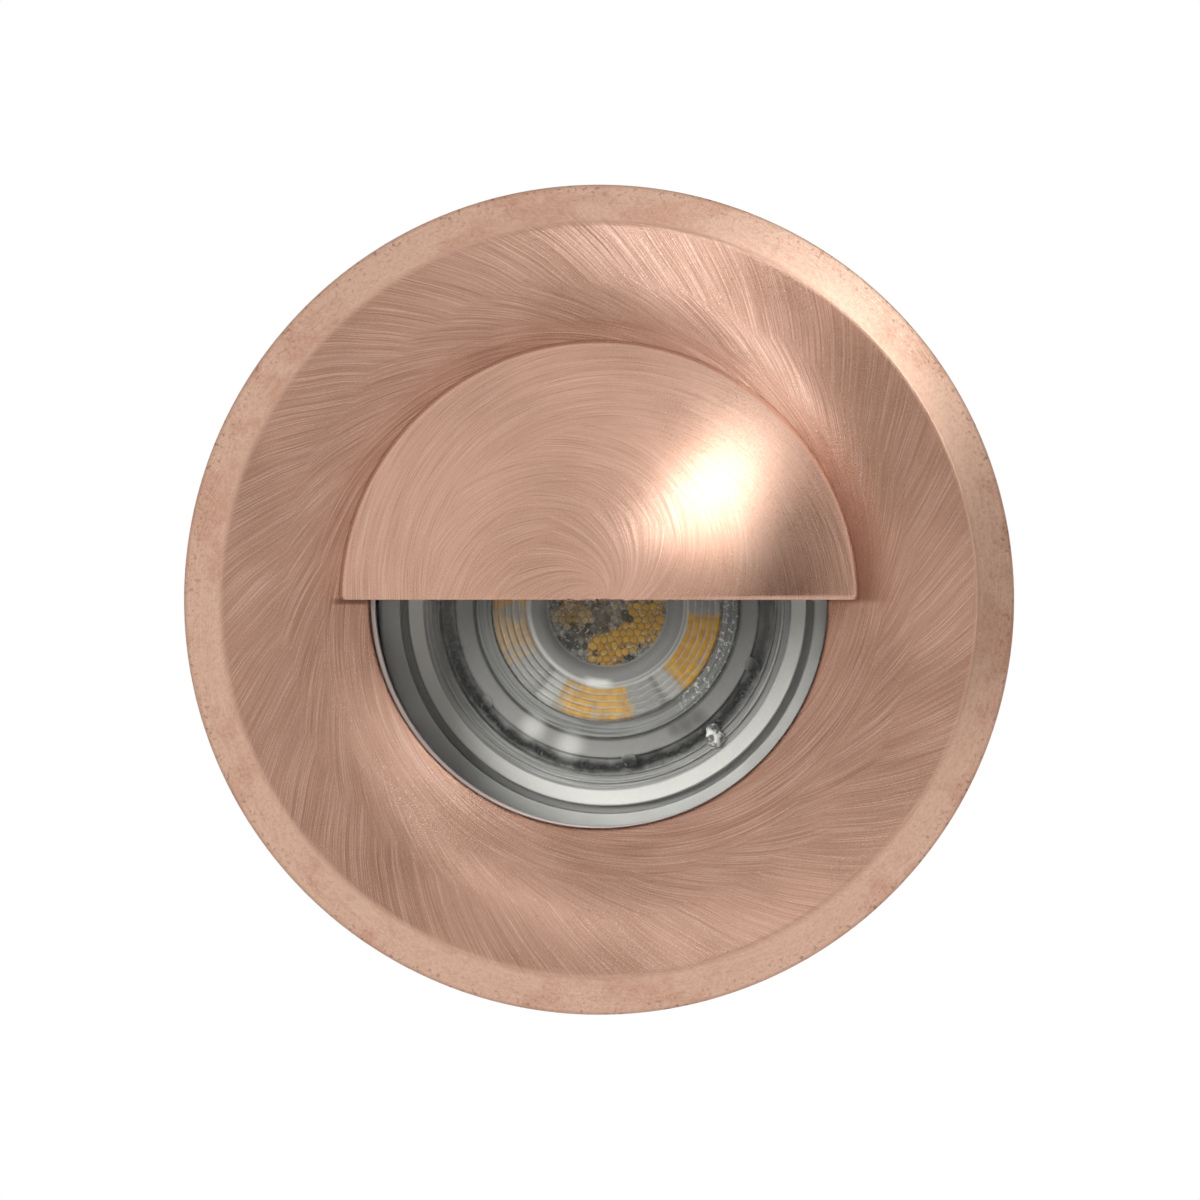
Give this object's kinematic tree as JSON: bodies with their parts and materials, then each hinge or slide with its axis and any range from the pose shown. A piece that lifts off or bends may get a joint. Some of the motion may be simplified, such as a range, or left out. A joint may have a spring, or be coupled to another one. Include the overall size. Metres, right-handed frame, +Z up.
{
  "type": "step light",
  "caption": "Round recessed step light: brushed copper face with a half-dome eyelid hood over a glazed opening, reflector lamp behind, barrel with sprung wings.",
  "frame": {"origin": "centre of the wall plane, where the wall gasket's back face meets the wall", "axes": "+Y runs back into the wall along the light's axis, +Z is up and +X is to the right seen from the front"},
  "size_m": [0.09, 0.1188, 0.09],
  "materials": {
    "copper": "brushed",
    "dark_aluminium": "satin anodised",
    "lamp_aluminium": "satin",
    "stainless": "satin",
    "spring_steel": "satin",
    "contact_brass": "polished",
    "black_rubber": "matt",
    "clear_silicone": "satin",
    "clear_glass": "clear",
    "lens_clear": "clear",
    "board_white": "matt",
    "phosphor": "satin",
    "lamp_plastic": "satin",
    "ceramic": "matt",
    "black_nylon": "matt",
    "lead_red": "satin"
  },
  "bodies": {
    "barrel": {"barrel": "dark_aluminium", "wall_gasket": "black_rubber", "rear_cap": "dark_aluminium", "cap_seal": "black_rubber", "cap_screws": "stainless", "lamp_holder": "ceramic", "holder_contacts": "contact_brass", "holder_bracket": "stainless", "holder_screws": "stainless", "bracket_screws": "stainless", "terminal_block": "black_nylon", "terminal_screws": "contact_brass", "holder_leads": "lead_red", "gland_body": "black_nylon", "gland_washer": "black_rubber", "gland_locknut": "stainless", "wing_bracket_right": "stainless", "wing_screws_right": "stainless", "wing_pin_right": "stainless", "wing_bracket_left": "stainless", "wing_screws_left": "stainless", "wing_pin_left": "stainless"},
    "face": {"face_plate": "copper", "eyelid_hood": "copper", "glass_ring": "lamp_aluminium"},
    "face_glass": {"front_glass": "clear_glass", "glass_gasket": "clear_silicone"},
    "face_seal": {"face_oring": "black_rubber"},
    "lamp": {"lamp_bezel": "lamp_aluminium", "lamp_lens": "lens_clear", "lamp_body": "lamp_aluminium", "led_board": "board_white", "led_chips": "phosphor", "lamp_base": "lamp_plastic", "lamp_pins": "stainless"},
    "wing_right": {"wing_arm_right": "spring_steel", "wing_sleeve_right": "black_rubber", "wing_spring_right": "spring_steel"},
    "wing_left": {"wing_arm_left": "spring_steel", "wing_sleeve_left": "black_rubber", "wing_spring_left": "spring_steel"},
    "gland_grip": {"gland_seal": "black_rubber"},
    "gland_cap": {"gland_nut": "black_nylon"}
  },
  "joints": [
    {"name": "face_lift", "type": "slide", "parent": "barrel", "child": "face_seal", "axis": [0, -1, 0], "range_m": [0, 0.11]},
    {"name": "face_travel", "type": "slide", "parent": "face_seal", "child": "face_glass", "axis": [0, -1, 0], "range_m": [0, 0.0045]},
    {"name": "face_turn", "type": "hinge", "parent": "face_glass", "child": "face", "pos_m": [0, 0, 0], "axis": [0, -1, 0], "range_deg": [0, 1080]},
    {"name": "lamp_draw", "type": "slide", "parent": "barrel", "child": "lamp", "axis": [0, -1, 0], "range_m": [0, 0.0605]},
    {"name": "wing_right_fold", "type": "hinge", "parent": "barrel", "child": "wing_right", "pos_m": [0.0346, 0.048, 0], "axis": [0, 0, -1], "range_deg": [0, 11], "stiffness_Nm_per_rad": 0.1, "springref_deg": -34.38, "deforming": ["wing_spring_right"]},
    {"name": "wing_left_fold", "type": "hinge", "parent": "barrel", "child": "wing_left", "pos_m": [-0.0346, 0.048, 0], "axis": [0, 0, 1], "range_deg": [0, 11], "stiffness_Nm_per_rad": 0.1, "springref_deg": -34.38, "deforming": ["wing_spring_left"]},
    {"name": "gland_travel", "type": "slide", "parent": "barrel", "child": "gland_grip", "axis": [0, 1, 0], "range_m": [0, 0.003]},
    {"name": "gland_turn", "type": "hinge", "parent": "gland_grip", "child": "gland_cap", "pos_m": [0, 0.0864, 0], "axis": [0, 1, 0], "range_deg": [0, 720]}
  ],
  "couplings": [
    {"joint": "face_turn", "follows": "face_travel", "rad_per_m": 4188.7},
    {"joint": "lamp_draw", "follows": "face_lift", "ratio": 0.55},
    {"joint": "gland_turn", "follows": "gland_travel", "rad_per_m": 4188.7}
  ]
}
